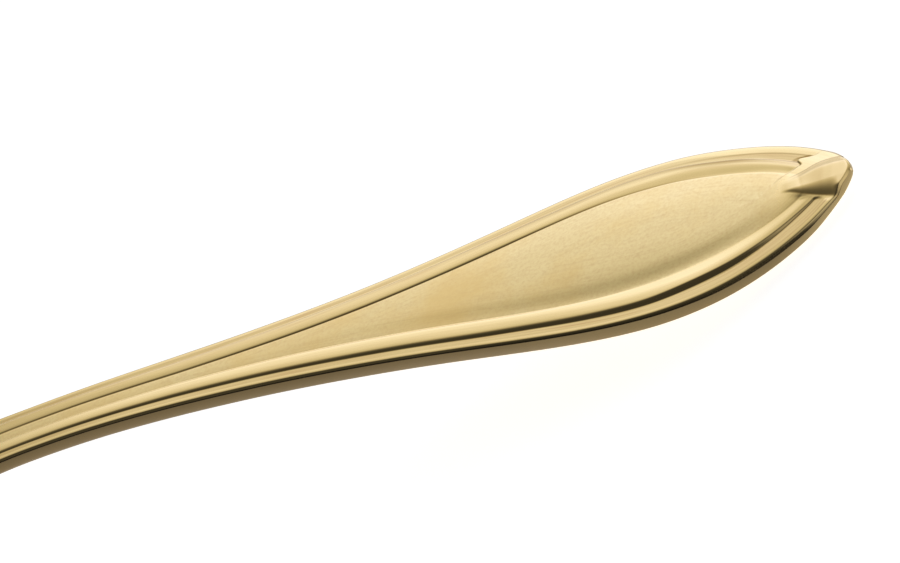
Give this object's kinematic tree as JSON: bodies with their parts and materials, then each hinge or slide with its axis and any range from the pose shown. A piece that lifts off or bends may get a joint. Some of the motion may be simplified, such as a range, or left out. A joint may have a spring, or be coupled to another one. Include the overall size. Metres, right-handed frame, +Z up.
{
  "type": "teaspoon",
  "caption": "Light gold teaspoon with an egg-shaped bowl, a slim arched stem and a leaf-shaped handle with a double thread border and a short pointed ridge at its tip.",
  "frame": {"origin": "on the table the spoon lies on, under the middle of its length and width", "axes": "+X along the spoon to the handle's tip, +Y across it, +Z up from the table"},
  "size_m": [0.137, 0.031, 0.0139],
  "materials": {
    "gold_polished": "light gold coating on steel, polished",
    "gold_satin": "light gold coating on steel, fine satin field between polished threads"
  },
  "bodies": {
    "root": {"bowl": "gold_polished", "neck": "gold_polished", "stem": "gold_satin", "blade": "gold_satin", "tip": "gold_polished"}
  },
  "joints": []
}
